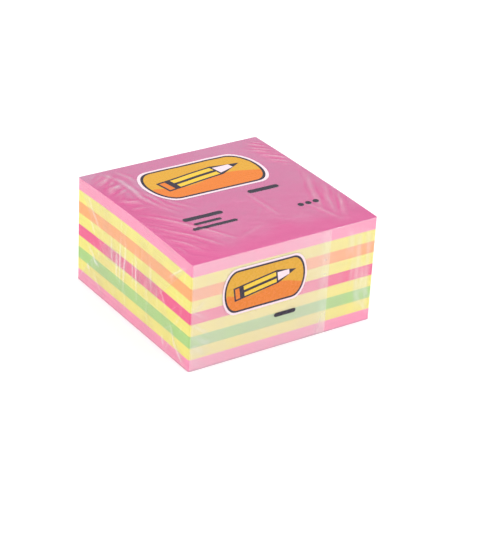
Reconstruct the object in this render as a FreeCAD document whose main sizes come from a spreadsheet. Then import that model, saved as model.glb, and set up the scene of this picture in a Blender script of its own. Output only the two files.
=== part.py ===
import FreeCAD, Part
import math
import os
import Sketcher

# A cube of sticky notes in its clear wrap, as sold: 450 square sheets in nine colour runs of fifty,
# each run gummed along its back edge, and one folded sheet of film shrunk tight round the pile.
# Frame: +Z up, origin at the middle of the wrapped underside. The side that carries the wrap's
# large print looks along -Y, and the folded ends of the wrap look along -X and +X.
# The pile has swollen a little: its sheets arch along Y, most at the top of the -X end.

os.makedirs("parts", exist_ok=True)
doc = FreeCAD.newDocument("sticky_note_pad")

SIZES = [
    ("sheet_width", 76.0, "size of a note along X"),
    ("sheet_depth", 76.0, "size of a note along Y"),
    ("sheet_thickness", 0.09, "one note"),
    ("sheets_per_run", 50.0, "notes of one colour"),
    ("corner_radius", 0.8, "softened corners of the pile"),
    ("crown_near", 1.25, "rise of the top note's middle at the -X end"),
    ("crown_far", 0.35, "rise of the top note's middle at the +X end"),
    ("film_thickness", 0.05, "one layer of the wrap"),
    ("film_clearance", 0.05, "between the wrap and the pile's sides and top"),
    ("flap_reach", 23.5, "how far each end flap reaches over the end"),
    ("flap_rake", 0.93, "how far a flap's side edge runs in for each unit of reach"),
    ("lap_lift", 5.0, "lower edge of the wrap's long lap above the underside"),
    ("lap_width", 9.0, "width of that lap"),
    ("gather_width", 1.6, "a gather of the film where it is widest"),
    ("gather_height", 0.4, "how far it stands out of the skin there"),
]

# The runs from the underside up.
RUN_COLOURS = ["pink", "yellow", "green", "yellow", "hot_pink", "yellow", "orange", "yellow", "pink"]

# Layers of film from the notes out, where the folds of an end lie on each other.
LOWER_FLAP_LAYERS = 2
UPPER_FLAP_LAYERS = 3
TURNED_CORNER_LAYERS = 4

# Gathers of the shrunk film on each face: the middle, then the length and the direction in degrees
# from the face's first axis. A place is counted from the face's low edge, or from its high edge if
# negative. The top's axes are X and Y, the front's and back's X and Z, and the ends' Y and Z.
GATHERS = {
    "top": [(6.5, 32.0, 18.0, -45.0), (8.5, 21.0, 20.0, -43.0), (5.5, 13.0, 15.0, -48.0), (18.5, 21.0, 25.0, -56.0),
            (6.5, 48.0, 16.0, 62.0), (5.0, -9.0, 13.0, 68.0), (-6.0, -7.5, 14.0, 41.0), (-5.0, -21.0, 15.0, 58.0),
            (-8.0, 13.0, 16.0, 32.0), (-16.0, 11.0, 12.0, 28.0)],
    "front": [(55.0, 19.0, 36.0, 89.0), (-8.5, 25.0, 21.0, 92.0), (-3.5, 25.5, 22.0, 89.0), (6.0, 8.0, 13.0, 50.0),
              (4.5, 17.0, 15.0, 70.0), (-6.0, 8.5, 11.0, 128.0)],
    "back": [(7.0, 19.0, 28.0, 88.0), (22.0, 24.0, 22.0, 92.0), (-9.0, 20.0, 30.0, 91.0), (-24.0, 22.0, 18.0, 87.0)],
    "near": [(-30.5, 22.0, 21.0, 88.0), (-41.0, 21.0, 19.0, 89.0), (9.5, 7.0, 8.0, 138.0), (16.0, 4.5, 6.0, 84.0),
             (-11.0, 26.0, 7.0, 75.0), (-12.5, 14.0, 8.0, 80.0)],
    "far": [(29.0, 21.0, 20.0, 92.0), (-33.0, 20.0, 22.0, 88.0), (-10.0, 8.0, 9.0, 40.0), (12.0, 27.0, 8.0, 105.0)],
}

# How deep a gather's foot lies under the skin's outside.
ROOT_DEPTH = 0.1
# How far the end folds run past the pile's top before they are trimmed to it.
TRIM_MARGIN = 3.0
# How far the arched sections stand outside the notes before the pile is trimmed.
OVERSIZE = 2.0
# A gather's sections: the share of its length, and of its full width and height there.
GATHER_SECTIONS = [(-0.5, 0.1), (-0.3, 0.75), (0.0, 1.0), (0.28, 0.7), (0.5, 0.1)]
# How far a gather's tips end under the skin.
TIP_DIP = 0.06

sizes = doc.addObject("Spreadsheet::Sheet", "Sizes")
for row, (alias, value, meaning) in enumerate(SIZES, start=1):
    sizes.set("A%d" % row, meaning)
    sizes.set("B%d" % row, str(value))
    sizes.setAlias("B%d" % row, alias)
doc.recompute()

RUN_COUNT = len(RUN_COLOURS)
HALF_WIDTH = "Sizes.sheet_width / 2"
HALF_DEPTH = "Sizes.sheet_depth / 2"
ARCH_WIDTH = "(Sizes.sheet_width / 2 + %.1f)" % OVERSIZE
ARCH_DEPTH = "(Sizes.sheet_depth / 2 + %.1f)" % OVERSIZE
FILM = "Sizes.film_thickness"
CLEARANCE = "Sizes.film_clearance"
SKIN = "(Sizes.film_clearance + Sizes.film_thickness)"


def level(runs):
    """Height of the pile's edge after so many runs, counted from the underside."""
    return "(%s + %d * Sizes.sheets_per_run * Sizes.sheet_thickness)" % (FILM, runs)


def rise(runs, end):
    """Rise of the sheets' middle after so many runs, at the near or the far end."""
    return "(Sizes.crown_%s * %d / %d)" % (end, runs, RUN_COUNT)


def origin_plane(body, role):
    """The body's own origin plane of that role, such as XY_Plane."""
    return next(plane for plane in body.Origin.OriginFeatures if plane.Role == role)


def new_sketch(body, name, role, offset="0"):
    """A sketch on one of the body's origin planes, moved along its normal by an expression."""
    sketch = body.newObject("Sketcher::SketchObject", name)
    sketch.AttachmentSupport = (origin_plane(body, role), [""])
    sketch.MapMode = "FlatFace"
    sketch.setExpression("AttachmentOffset.Base.z", offset)
    return sketch


def bind(sketch, kind, expression, *where):
    """A dimension of the sketch whose value follows an expression."""
    index = sketch.addConstraint(Sketcher.Constraint(kind, *where))
    sketch.setExpression("Constraints[%d]" % index, expression)


def outline(sketch, points):
    """Straight sides through points, each placed by two expressions in the sketch's own plane."""
    first, count = sketch.GeometryCount, len(points)
    rough = [FreeCAD.Vector(90.0 * index, 60.0 * index * (count - index), 0) for index in range(count)]
    for index in range(count):
        sketch.addGeometry(Part.LineSegment(rough[index], rough[(index + 1) % count]))
    for index in range(count):
        sketch.addConstraint(Sketcher.Constraint("Coincident", first + index, 2, first + (index + 1) % count, 1))
    for index, (across, up) in enumerate(points):
        bind(sketch, "DistanceX", across, -1, 1, first + index, 1, rough[index].x)
        bind(sketch, "DistanceY", up, -1, 1, first + index, 1, rough[index].y)


def rounded_outline(sketch, half_across, half_up, radius):
    """An oblong with rounded corners round the origin: four arcs, then the four sides between them."""
    rough_half, rough_radius, quarter = 38.0, 0.8, math.pi / 2
    inner = rough_half - rough_radius
    for turn, (across, up) in enumerate(((1, 1), (-1, 1), (-1, -1), (1, -1))):
        corner = Part.Circle(FreeCAD.Vector(across * inner, up * inner, 0), FreeCAD.Vector(0, 0, 1), rough_radius)
        sketch.addGeometry(Part.ArcOfCircle(corner, turn * quarter, (turn + 1) * quarter))
    for turn in range(4):
        sketch.addGeometry(Part.LineSegment(sketch.getPoint(turn, 2), sketch.getPoint((turn + 1) % 4, 1)))
    for turn in range(4):
        sketch.addConstraint(Sketcher.Constraint("Tangent", turn, 2, 4 + turn, 1))
        sketch.addConstraint(Sketcher.Constraint("Tangent", 4 + turn, 2, (turn + 1) % 4, 1))
        sketch.addConstraint(Sketcher.Constraint("Vertical" if turn % 2 else "Horizontal", 4 + turn))
    for turn in range(1, 4):
        sketch.addConstraint(Sketcher.Constraint("Equal", 0, turn))
    sketch.addConstraint(Sketcher.Constraint("Symmetric", 4, 1, 6, 1, -1, 1))
    bind(sketch, "Radius", radius, 0, rough_radius)
    bind(sketch, "DistanceX", half_across, -1, 1, 7, 1, rough_half)
    bind(sketch, "DistanceY", half_up, -1, 1, 4, 1, rough_half)


def arched_section(sketch, low, high, low_rise, high_rise):
    """A section with upright ends whose long sides rise in the middle. A low_rise of None is flat."""
    right_low, right_high = FreeCAD.Vector(40, 1, 0), FreeCAD.Vector(40, 5, 0)
    left_low, left_high = FreeCAD.Vector(-40, 1, 0), FreeCAD.Vector(-40, 5, 0)
    if low_rise is None:
        sketch.addGeometry(Part.LineSegment(right_low, left_low))
    else:
        sketch.addGeometry(Part.Arc(right_low, FreeCAD.Vector(0, 1.5, 0), left_low))
    sketch.addGeometry(Part.LineSegment(right_low, right_high))
    sketch.addGeometry(Part.Arc(right_high, FreeCAD.Vector(0, 5.5, 0), left_high))
    sketch.addGeometry(Part.LineSegment(left_low, left_high))
    for joined in ((0, 1, 1, 1), (1, 2, 2, 1), (2, 2, 3, 2), (3, 1, 0, 2)):
        sketch.addConstraint(Sketcher.Constraint("Coincident", *joined))
    for end, side, start in ((1, ARCH_DEPTH, 40.0), (3, "-(%s)" % ARCH_DEPTH, -40.0)):
        for corner, height in ((1, low), (2, high)):
            bind(sketch, "DistanceX", side, -1, 1, end, corner, start)
            bind(sketch, "DistanceY", height, -1, 1, end, corner, 4.0 * corner - 3.0)
    for edge, bow in ((0, low_rise), (2, high_rise)):
        if bow is not None:
            radius = "((%s) ^ 2 + (%s) ^ 2) / (2 * (%s))" % (ARCH_DEPTH, bow, bow)
            bind(sketch, "Radius", radius, edge, 1600.0)


def arched_block(label, reach, side, radius, low, high, low_runs, high_runs):
    """A block whose flat or arched underside and arched top run between two arched sections past
    its ends, trimmed upright to a rounded outline as a guillotine trims a pile."""
    body = doc.addObject("PartDesign::Body", label)
    sections = []
    for end, sign in (("near", "-"), ("far", "")):
        sketch = new_sketch(body, "%s_%s_section" % (label, end), "YZ_Plane", "%s(%s)" % (sign, ARCH_WIDTH))
        low_rise = rise(low_runs, end) if low_runs else None
        arched_section(sketch, low, high, low_rise, rise(high_runs, end))
        sections.append(sketch)
    loft = body.newObject("PartDesign::AdditiveLoft", label + "_loft")
    loft.Profile = (sections[0], [""])
    loft.Sections = [(sections[1], [""])]
    loft.Ruled = True
    trim = new_sketch(body, label + "_trim_outline", "XY_Plane")
    rounded_outline(trim, reach, side, radius)
    outline(trim, [("%d * %s" % (across, ARCH_WIDTH), "%d * %s" % (up, ARCH_DEPTH))
                   for across, up in ((-2, -2), (2, -2), (2, 2), (-2, 2))])
    cut = body.newObject("PartDesign::Pocket", label + "_trim")
    cut.Profile = trim
    cut.Type = "ThroughAll"
    cut.Reversed = True
    body.Tip = cut
    return body


def note_run(number, colour):
    """Fifty notes of one colour, gummed at their back edge and so one block of paper."""
    return arched_block("note_run_%d_%s" % (number, colour), HALF_WIDTH, HALF_DEPTH, "Sizes.corner_radius",
                        level(number - 1), level(number), number - 1, number)


def film_block(label, reach, side, low, lift):
    """A block round the whole pile, larger than it by the given expressions."""
    return arched_block(label, "%s + %s" % (HALF_WIDTH, reach), "%s + %s" % (HALF_DEPTH, side),
                        "Sizes.corner_radius + %s" % side, low, "%s + %s" % (level(RUN_COUNT), lift), 0, RUN_COUNT)


def padded(label, role, start, points, length, reverse=False):
    """A pad of an outline, as a body of its own, from a plane placed by an expression."""
    body = doc.addObject("PartDesign::Body", label)
    sketch = new_sketch(body, label + "_outline", role, start)
    outline(sketch, points)
    pad = body.newObject("PartDesign::Pad", label + "_pad")
    pad.Profile = sketch
    pad.Reversed = reverse
    pad.setExpression("Length", length)
    body.Tip = pad
    return body


def end_folds(end, sign):
    """The folds of one end, as layers on its tucked sides: a lower flap, an upper flap lapped over
    it, and the four corners where the side tucks turn in under the flaps."""
    top = level(RUN_COUNT)
    past = "%s + %.1f" % (top, TRIM_MARGIN)
    low_edge, high_edge = "Sizes.flap_reach", "%s - Sizes.flap_reach" % top
    inner = "%s - Sizes.flap_reach * Sizes.flap_rake" % HALF_DEPTH
    front_edge, front_inner = "-(%s)" % HALF_DEPTH, "-(%s)" % inner
    folds = [
        ("lower_flap", LOWER_FLAP_LAYERS,
         [(front_edge, "0"), (HALF_DEPTH, "0"), (inner, low_edge), (front_inner, low_edge)]),
        ("upper_flap", UPPER_FLAP_LAYERS,
         [(front_edge, past), (front_edge, top), (front_inner, high_edge), (inner, high_edge),
          (HALF_DEPTH, top), (HALF_DEPTH, past)]),
    ]
    for side, edge, turned in (("front", front_edge, front_inner), ("back", HALF_DEPTH, inner)):
        folds.append(("low_corner_" + side, TURNED_CORNER_LAYERS, [(edge, "0"), (turned, "0"), (turned, low_edge)]))
        folds.append(("high_corner_" + side, TURNED_CORNER_LAYERS,
                      [(edge, past), (edge, top), (turned, high_edge), (turned, past)]))
    return [
        padded("%s_%s" % (end, name), "YZ_Plane", "%s(%s)" % (sign, HALF_WIDTH), points,
               "Sizes.film_clearance + %d * %s" % (layers, FILM), sign == "-")
        for name, layers, points in folds
    ]


def size(alias):
    """The present value of one size."""
    return float(sizes.get(alias))


def top_height(across, back):
    """Height of the skin's arched top over a place."""
    arch_width, arch_depth = size("sheet_width") / 2 + OVERSIZE, size("sheet_depth") / 2 + OVERSIZE
    edge = size("film_clearance") + 2 * size("film_thickness")
    edge += RUN_COUNT * size("sheets_per_run") * size("sheet_thickness")
    far_share = (across / arch_width + 1) / 2
    crown = size("crown_near") * (1 - far_share) + size("crown_far") * far_share
    radius = (arch_depth ** 2 + crown ** 2) / (2 * crown)
    return edge + crown - radius + (radius ** 2 - back ** 2) ** 0.5


def on_skin(face, first, second, out):
    """The point that stands a distance out of the skin at a place of a face."""
    half_width, half_depth = size("sheet_width") / 2, size("sheet_depth") / 2
    out_of_pile = size("film_clearance") + size("film_thickness") + out
    if face == "top":
        return FreeCAD.Vector(first, second, top_height(first, second) + out)
    if face in ("front", "back"):
        side = -1 if face == "front" else 1
        return FreeCAD.Vector(first, side * (half_depth + out_of_pile), second)
    side = -1 if face == "near" else 1
    return FreeCAD.Vector(side * (half_width + out_of_pile), first, second)


def gather(face, first, second, length, direction):
    """One gather: a ridge with a three-sided section that swells and sinks along the skin."""
    half = size("sheet_width") / 2 if face in ("top", "front", "back") else size("sheet_depth") / 2
    first += half if first < 0 else -half
    if face == "top":
        second += size("sheet_depth") / 2 if second < 0 else -size("sheet_depth") / 2
    along = (math.cos(math.radians(direction)), math.sin(math.radians(direction)))
    sections = []
    for place, share in GATHER_SECTIONS:
        middle = (first + along[0] * place * length, second + along[1] * place * length)
        half_base = size("gather_width") * share / 2 * (1 + ROOT_DEPTH / size("gather_height"))
        foot = [on_skin(face, middle[0] - side * along[1] * half_base, middle[1] + side * along[0] * half_base,
                        -ROOT_DEPTH) for side in (-1, 1)]
        ridge = on_skin(face, middle[0], middle[1], size("gather_height") * share - TIP_DIP)
        sections.append(Part.makePolygon([foot[0], ridge, foot[1], foot[0]]))
    return Part.makeLoft(sections, True, True)


def gathers():
    """All gathers of the wrap as one shape of separate ridges, rooted under the skin."""
    ridges = [gather(face, *place) for face, places in GATHERS.items() for place in places]
    result = doc.addObject("Part::Feature", "gathers")
    result.Shape = Part.makeCompound(ridges)
    return result


def combined(kind, label, members):
    """A Part::MultiFuse or Part::MultiCommon of several objects."""
    result = doc.addObject(kind, label)
    result.Shapes = members
    return result


def film_wrap():
    """One folded sheet of clear film: a skin round the pile, with the ends' folds, the long lap on
    the back and the gathers where it shrank unevenly, hollow where the notes lie."""
    skin = film_block("film_skin", SKIN, SKIN, "0", SKIN)
    hollow = film_block("film_hollow", CLEARANCE, CLEARANCE, FILM, CLEARANCE)
    piled = "(%s + %d * %s)" % (CLEARANCE, TURNED_CORNER_LAYERS, FILM)
    fold_limit = film_block("fold_limit", piled, SKIN, "0", SKIN)
    folds = combined("Part::MultiFuse", "end_folds", end_folds("near", "-") + end_folds("far", ""))
    low, high, left = "Sizes.lap_lift", "Sizes.lap_lift + Sizes.lap_width", "-(%s)" % HALF_WIDTH
    corners = [(left, low), (HALF_WIDTH, low), (HALF_WIDTH, high), (left, high)]
    lap = padded("long_lap", "XZ_Plane", "-(%s)" % HALF_DEPTH, corners, "%s + %s" % (SKIN, FILM), True)
    trimmed_folds = combined("Part::MultiCommon", "trimmed_folds", [folds, fold_limit])
    whole = combined("Part::MultiFuse", "film_whole", [skin, lap, trimmed_folds, gathers()])
    wrap = doc.addObject("Part::Cut", "film_wrap")
    wrap.Base = whole
    wrap.Tool = hollow
    return wrap


def check_document():
    """Every object is computed and every solid is sound."""
    for item in doc.Objects:
        if "Invalid" in item.State or "Error" in item.State:
            raise RuntimeError("%s is not computed: %s" % (item.Label, item.State))


pieces = [note_run(number, colour) for number, colour in enumerate(RUN_COLOURS, start=1)]
pieces.append(film_wrap())
doc.recompute()
check_document()
for piece in pieces:
    shape = piece.Shape
    if shape.isNull() or not shape.isValid() or len(shape.Solids) != 1:
        raise RuntimeError("%s is not one sound solid" % piece.Label)
for piece in pieces:
    piece.Shape.exportStep("parts/%s.step" % piece.Label)
    print("%-22s %10.1f mm3 %4d faces" % (piece.Label, piece.Shape.Volume, len(piece.Shape.Faces)))
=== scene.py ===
"""A cube of sticky notes in its clear shrunk wrap: paper, film, print, floor, light and camera."""

import math

import bpy
import numpy as np
from bpy.props import FloatProperty, FloatVectorProperty, IntProperty, PointerProperty
from mathutils import Matrix, Vector
from mathutils.bvhtree import BVHTree
from mathutils.geometry import delaunay_2d_cdt
from mathutils.kdtree import KDTree


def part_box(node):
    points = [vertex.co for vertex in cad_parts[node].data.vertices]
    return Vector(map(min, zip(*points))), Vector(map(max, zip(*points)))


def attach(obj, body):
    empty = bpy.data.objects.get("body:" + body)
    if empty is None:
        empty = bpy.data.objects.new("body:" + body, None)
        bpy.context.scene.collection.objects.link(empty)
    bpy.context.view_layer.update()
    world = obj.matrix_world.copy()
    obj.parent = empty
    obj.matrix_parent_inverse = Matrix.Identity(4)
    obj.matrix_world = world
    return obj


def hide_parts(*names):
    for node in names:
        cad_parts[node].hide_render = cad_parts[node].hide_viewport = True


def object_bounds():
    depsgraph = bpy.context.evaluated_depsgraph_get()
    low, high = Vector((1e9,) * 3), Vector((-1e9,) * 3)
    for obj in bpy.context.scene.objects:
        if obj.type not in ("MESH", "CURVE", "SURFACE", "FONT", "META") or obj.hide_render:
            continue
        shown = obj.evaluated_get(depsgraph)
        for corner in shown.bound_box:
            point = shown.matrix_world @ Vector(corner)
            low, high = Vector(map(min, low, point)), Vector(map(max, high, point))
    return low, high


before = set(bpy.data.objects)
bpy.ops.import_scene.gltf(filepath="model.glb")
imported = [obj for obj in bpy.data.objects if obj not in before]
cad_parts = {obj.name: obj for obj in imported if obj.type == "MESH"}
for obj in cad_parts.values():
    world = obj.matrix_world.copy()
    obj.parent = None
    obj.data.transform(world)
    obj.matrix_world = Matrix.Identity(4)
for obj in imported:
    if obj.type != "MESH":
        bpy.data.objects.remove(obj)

bl_info = {
    "name": "Wrapped sticky note cube",
    "version": (1, 0, 0),
    "blender": (4, 5, 0),
    "location": "View3D > Sidebar > Note Cube",
    "description": "Dresses the packed sticky note cube: paper, clear wrap, print, floor, light and camera",
    "category": "Object",
}

# Lengths in the geometry below are millimetres, as the object is measured, and become metres in a mesh.
MM = 0.001
CAD_LOW, CAD_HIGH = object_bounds()
NOTE_NODES = sorted(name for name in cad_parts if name.startswith("note_run_"))
LOW_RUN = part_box(NOTE_NODES[0])
HALF_WIDTH, HALF_DEPTH = LOW_RUN[1].x / MM, LOW_RUN[1].y / MM
PILE_FOOT = LOW_RUN[0].z / MM
# The height of the pile's corners, without the arch of its swollen middle.
PILE_HEIGHT = 40.5
# The arch is measured on sections this far outside the notes.
ARCH_MARGIN = 2.0
SHEETS = 450
FILM_INDEX = 1.5

# Each band's colour slot, from the record's slots.
PAPER_SLOTS = {name: "paper_" + name.split("_", 3)[3] for name in NOTE_NODES}

OUTWARD = {"left": (-1, 0, 0), "right": (1, 0, 0), "front": (0, -1, 0), "back": (0, 1, 0), "top": (0, 0, 1)}
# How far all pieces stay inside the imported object's box.
LIMIT_MARGIN = 0.004

# Slack film: length, number and height of its broad, middle and fine waves.
SLACK_WAVES = ((16.0, 18, 0.030), (4.5, 24, 0.012), (1.9, 30, 0.003))
# How far slack film may dip under its tight form, and how softly it stops there.
DEEPEST_DIP, DIP_SOFTNESS = 0.04, 0.015
# A loose layer's share of the skin's slack.
LAYER_SLACK = 0.6
# Wrinkles stand up fully on the top, and to this share on the upright faces, where the film is tighter.
UPRIGHT_RIDGES = 0.4
# A wrinkle is counted out to this many of its widths.
WRINKLE_REACH = 3.5
# The skin is flat under the pile, and its wrinkles reach their full height this far up.
FOOT_HEIGHT = 1.5
# From its free edge, how far back the front's second layer is turned pale, and how softly that starts.
BAND_WIDTH, BAND_SOFTNESS = 3.4, 0.7
# The most cloudiness of the skin on the front and on the other upright faces, then of a loose layer on each.
# Cloudier film is made of two layers.
SKIN_CLOUD_FRONT, SKIN_CLOUD_SIDE = 0.24, 0.22
LAYER_CLOUD = {"left": 0.18, "right": 0.18, "front": 0.245, "back": 0.245}
# Points along and across each flap, the long lap and the front's second layer.
FLAP_GRID, LAP_GRID, FRONT_GRID = (150, 56), (150, 26), (150, 80)
# How far the narrow end of an end flap lies towards the back from the middle.
FLAP_SHIFT = 1.0
# Each use has random draws of its own, which start at the film's seed plus one of these.
RELIEF_DRAWS, FLAP_DRAWS, LAP_DRAWS = 1, 5, 9

# Print: distance of its ink from the film, how far round a point it clears the film's ridges, and its mesh.
INK_LIFT, INK_PROBE, INK_MESH = 0.012, 0.3, 0.5
# Middle and size of the badge on each printed face, then the middle, length and thickness of each plain bar.
PRINTS = {
    "top": ((1.0, 16.6), (49.0, 26.0),
            [((14.5, -1.6), 13.0, 2.3), ((-16.5, -10.4), 16.0, 2.1), ((-17.0, -14.4), 11.0, 1.4),
             ((-16.0, -17.6), 18.0, 1.5), ((19.3, -18.0), 2.3, 2.3), ((22.5, -18.0), 2.3, 2.3),
             ((25.7, -18.0), 2.3, 2.3)]),
    "front": ((-8.5, 26.4), (34.5, 17.6), [((0.5, 12.9), 9.0, 1.6)]),
}

# Soft lights, in metres: places, side of each square, and the point that they look at.
KEY_PLACE, FILL_PLACE = (-0.62, 0.62, 0.38), (0.55, -0.72, 0.50)
LIGHT_SIDE, LIGHT_AIM = 0.22, (0, 0, 0.02)


def srgb(red, green, blue):
    """A colour as read off a screen, 0 to 255, as Blender's linear values."""
    def linear(value):
        value /= 255.0
        return value / 12.92 if value <= 0.04045 else ((value + 0.055) / 1.055) ** 2.4
    return (linear(red), linear(green), linear(blue))


def length_prop(name, value_mm, description):
    return FloatProperty(name=name, description=description, default=value_mm * MM, unit="LENGTH",
                         precision=6)


def colour_prop(name, screen, description):
    return FloatVectorProperty(name=name, description=description, default=srgb(*screen), subtype="COLOR",
                               size=3, min=0.0, max=1.0)


def share_prop(name, value, description, top=1.0):
    return FloatProperty(name=name, description=description, default=value, min=0.0, max=top)


def angle_prop(name, degrees, description):
    return FloatProperty(name=name, description=description, default=math.radians(degrees), subtype="ANGLE")


class PaperSettings(bpy.types.PropertyGroup):
    """Colours and sizes of the notes."""
    paper_pink: colour_prop("Pink edge", (252, 148, 187), "Cut edges of the pink notes")
    paper_yellow: colour_prop("Yellow edge", (244, 233, 121), "Cut edges of the yellow notes")
    paper_green: colour_prop("Green edge", (172, 215, 127), "Cut edges of the green notes")
    paper_hot_pink: colour_prop("Hot pink edge", (240, 86, 140), "Cut edges of the hot pink notes")
    paper_orange: colour_prop("Orange edge", (252, 172, 104), "Cut edges of the orange notes")
    top_sheet: colour_prop("Top note", (211, 60, 137), "Flat face of the top and bottom notes")
    crown_near: length_prop("Arch at -X", 1.25, "Rise of the top note's middle at the -X end")
    crown_far: length_prop("Arch at +X", 0.35, "Rise of the top note's middle at the +X end")
    # Strength of the painted shade in the sheet lines, and of the random tone of single notes.
    line_depth: share_prop("Sheet lines", 0.13, "How dark the gaps between single notes look")


class FilmSettings(bpy.types.PropertyGroup):
    """Sizes and clarity of the shrunk wrap."""
    gap: length_prop("Gap", 0.11, "Film's outside above the paper where it lies tight")
    mesh_step: length_prop("Mesh step", 0.6, "Spacing of the skin's grid")
    edge_radius: length_prop("Edge radius", 0.25, "Bend of the film over the top and bottom edges")
    corner_radius: length_prop("Corner radius", 0.9, "Bend of the film round the upright corners")
    flap_reach: length_prop("Flap reach", 23.5, "How far each end flap reaches over the end")
    flap_rake: share_prop("Flap rake", 0.88, "Inward run of a flap's side edge for each unit of reach")
    lap_lift: length_prop("Lap lift", 5.0, "Lower edge of the long lap above the underside")
    lap_width: length_prop("Lap width", 9.0, "Width of the long lap on the back")
    front_lap: length_prop("Front lap", 18.2, "Free edge of the front's second layer, from the middle in X")
    layer_gap: length_prop("Layer gap", 0.07, "Distance between two layers of film on an end")
    front_haze: colour_prop("Front haze", (252, 242, 248), "Tint of the cloudy film on the front and back")
    end_haze: colour_prop("End haze", (232, 214, 212), "Tint of the cloudy film on both ends")
    top_haze: colour_prop("Top haze", (216, 214, 231), "Tint of the cloudy film on the top")
    gloss_roughness: share_prop("Gloss roughness", 0.09, "Roughness of the film's reflections")
    seed: IntProperty(name="Seed", description="Start of the fine wrinkles' random draws", default=7)


class PrintSettings(bpy.types.PropertyGroup):
    """Inks of the plain badge and bars on the wrap."""
    amber: colour_prop("Amber ink", (222, 165, 48), "Field of the badge")
    orange: colour_prop("Orange ink", (230, 126, 42), "Band across the badge")
    yellow: colour_prop("Yellow ink", (240, 200, 60), "Body of the drawn pencil")
    charcoal: colour_prop("Charcoal ink", (46, 38, 56), "Outlines and bars")
    keyline: colour_prop("Keyline ink", (246, 222, 232), "Pale line round the badge")


class StageSettings(bpy.types.PropertyGroup):
    """Floor, lights and camera."""
    azimuth: angle_prop("Azimuth", -35.39, "Camera's turn round the pad")
    elevation: angle_prop("Elevation", 28.34, "Camera's height angle")
    roll: angle_prop("Roll", 3.30, "Camera's tilt to one side")
    distance: length_prop("Distance", 667.9, "Camera to the point it looks at")
    target: FloatVectorProperty(name="Target", description="Point that the camera looks at", size=3,
                                default=(-3.63 * MM, -22.24 * MM, 20.0 * MM), subtype="TRANSLATION")
    lens: FloatProperty(name="Lens", description="Focal length in mm on a 36 mm frame height", default=124.92)
    world_light: share_prop("Surround", 0.40, "Strength of the white surround near the horizon", 5.0)
    overhead_light: share_prop("Overhead", 1.50, "Strength of the white surround overhead", 5.0)
    key_power: share_prop("Key power", 0.5, "Watts of the large soft light at the back left", 50.0)
    fill_power: share_prop("Fill power", 0.9, "Watts of the soft light at the front right", 50.0)
    floor_glow: share_prop("Floor glow", 0.16, "Light that the pale floor gives off, as a light table does")
    floor_size: length_prop("Floor", 3000.0, "Side of the square floor")


def settings(name):
    return getattr(bpy.context.scene, name)


# Shape of the pile and its film, in millimetres


def rising(values, edge, soft):
    """Smoothly from 0 below an edge to 1 above it."""
    return 1 / (1 + np.exp(-(values - edge) / soft))


def ramp(values, start, length):
    """In a straight line from 0 at the start to 1 a length further on."""
    return np.clip((values - start) / length, 0, 1)


def hump(values, middle, width):
    """1 at a middle, falling off smoothly to both sides."""
    return np.exp(-((values - middle) / width) ** 2)


def crown(across, depth):
    """Rise of the top note's surface over the pile's corners, at X and Y."""
    paper = settings("cube_paper")
    arch_width, arch_depth = HALF_WIDTH + ARCH_MARGIN, HALF_DEPTH + ARCH_MARGIN
    far = (across / arch_width + 1) / 2
    rise = paper.crown_near / MM * (1 - far) + paper.crown_far / MM * far
    return rise * (1 - (depth / arch_depth) ** 2)


def film_top(across, depth):
    """Height of the tight film over the pile."""
    return PILE_FOOT + PILE_HEIGHT + crown(across, depth) + settings("cube_film").gap / MM


class Waves:
    """A smooth random field in space: a sum of plane waves of about one length."""

    def __init__(self, draws, length, count=18):
        directions = draws.normal(size=(count, 3))
        directions /= np.linalg.norm(directions, axis=1)[:, None]
        lengths = length * draws.uniform(0.6, 1.6, count)
        self.turns = directions * (2 * math.pi / lengths)[:, None]
        self.starts = draws.uniform(0, 2 * math.pi, count)
        self.scale = math.sqrt(2.0 / count)

    def at(self, points):
        return np.sin(points @ self.turns.T + self.starts).sum(axis=1) * self.scale

    def share(self, points):
        return (0.5 + 0.5 * self.at(points)).clip(0, 1)


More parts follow.
